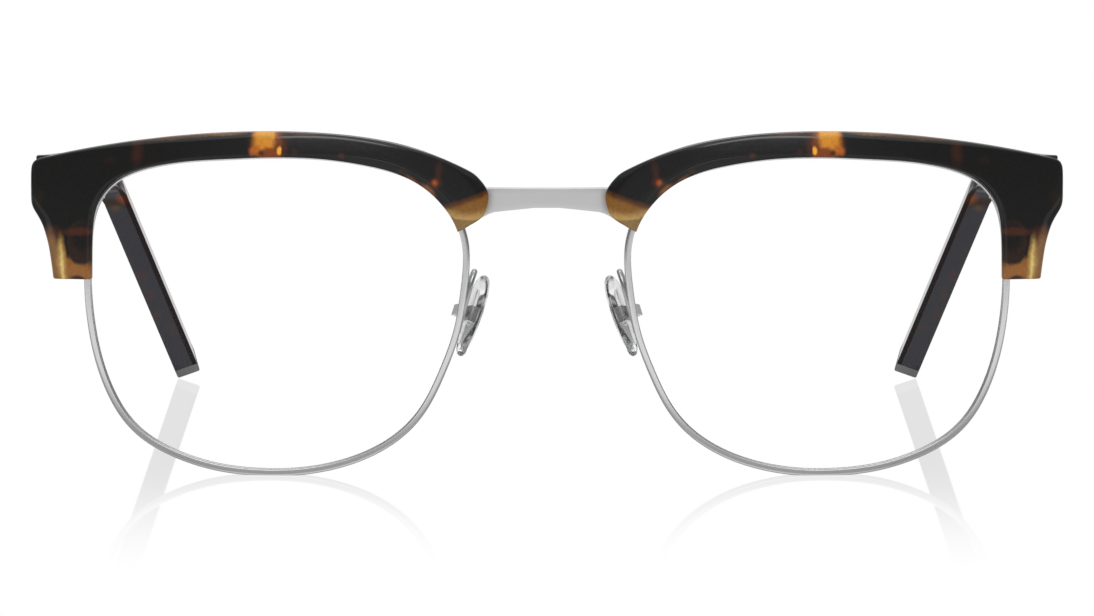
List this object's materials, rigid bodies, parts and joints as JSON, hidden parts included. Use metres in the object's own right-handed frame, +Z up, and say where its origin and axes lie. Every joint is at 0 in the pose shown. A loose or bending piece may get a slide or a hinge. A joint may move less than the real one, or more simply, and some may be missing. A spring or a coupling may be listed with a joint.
{
  "type": "half rim eyeglasses",
  "caption": "Half rim eyeglasses with dark tortoise brow pieces on full metal rims, a flat metal bridge, clear nose pads and folding temples.",
  "frame": {"origin": "middle of the overall width and depth, at the height of the table the open frame stands on", "axes": "+X across the front towards the wearer's left, +Y back along the temples, +Z up"},
  "size_m": [0.1474, 0.132, 0.0476],
  "materials": {
    "acetate": "polished dark tortoise cellulose acetate",
    "frame_metal": "satin silver",
    "cap_metal": "satin grey",
    "screw": "polished steel",
    "lens": "clear",
    "pad": "clear silicone"
  },
  "bodies": {
    "front": {"bridge": "frame_metal", "right_eyewire": "frame_metal", "right_brow": "acetate", "right_lens": "lens", "right_rim_lock_upper": "frame_metal", "right_rim_lock_lower": "frame_metal", "right_rim_lock_screw": "screw", "right_brow_screw_temporal": "screw", "right_brow_screw_nasal": "screw", "right_hinge_front_leaf": "frame_metal", "right_hinge_front_rivet": "screw", "right_pad_arm": "frame_metal", "right_pad_box": "frame_metal", "right_pad_screw": "screw", "left_eyewire": "frame_metal", "left_brow": "acetate", "left_lens": "lens", "left_rim_lock_upper": "frame_metal", "left_rim_lock_lower": "frame_metal", "left_rim_lock_screw": "screw", "left_brow_screw_temporal": "screw", "left_brow_screw_nasal": "screw", "left_hinge_front_leaf": "frame_metal", "left_hinge_front_rivet": "screw", "left_pad_arm": "frame_metal", "left_pad_box": "frame_metal", "left_pad_screw": "screw"},
    "right_temple_arm": {"right_temple": "acetate", "right_temple_core_wire": "frame_metal", "right_temple_end_cap": "cap_metal", "right_hinge_temple_leaf": "frame_metal", "right_hinge_screw": "screw", "right_temple_rivet_front": "screw", "right_temple_rivet_rear": "screw"},
    "right_pad": {"right_nose_pad": "pad", "right_nose_pad_insert": "frame_metal"},
    "left_temple_arm": {"left_temple": "acetate", "left_temple_core_wire": "frame_metal", "left_temple_end_cap": "cap_metal", "left_hinge_temple_leaf": "frame_metal", "left_hinge_screw": "screw", "left_temple_rivet_front": "screw", "left_temple_rivet_rear": "screw"},
    "left_pad": {"left_nose_pad": "pad", "left_nose_pad_insert": "frame_metal"}
  },
  "joints": [
    {"name": "left_temple_fold", "type": "hinge", "parent": "front", "child": "left_temple_arm", "pos_m": [0.0654, -0.05441, 0.0405], "axis": [0, 0, 1], "range_deg": [0, 88]},
    {"name": "right_temple_fold", "type": "hinge", "parent": "front", "child": "right_temple_arm", "pos_m": [-0.0654, -0.05441, 0.0405], "axis": [0, 0, -1], "range_deg": [0, 76]},
    {"name": "right_pad_rock", "type": "hinge", "parent": "front", "child": "right_pad", "pos_m": [-0.01203, -0.05775, 0.02222], "axis": [-0.3059, 0.9414, -0.1423], "range_deg": [-8, 8]},
    {"name": "left_pad_rock", "type": "hinge", "parent": "front", "child": "left_pad", "pos_m": [0.01203, -0.05775, 0.02222], "axis": [-0.3059, -0.9414, 0.1423], "range_deg": [-8, 8]}
  ]
}
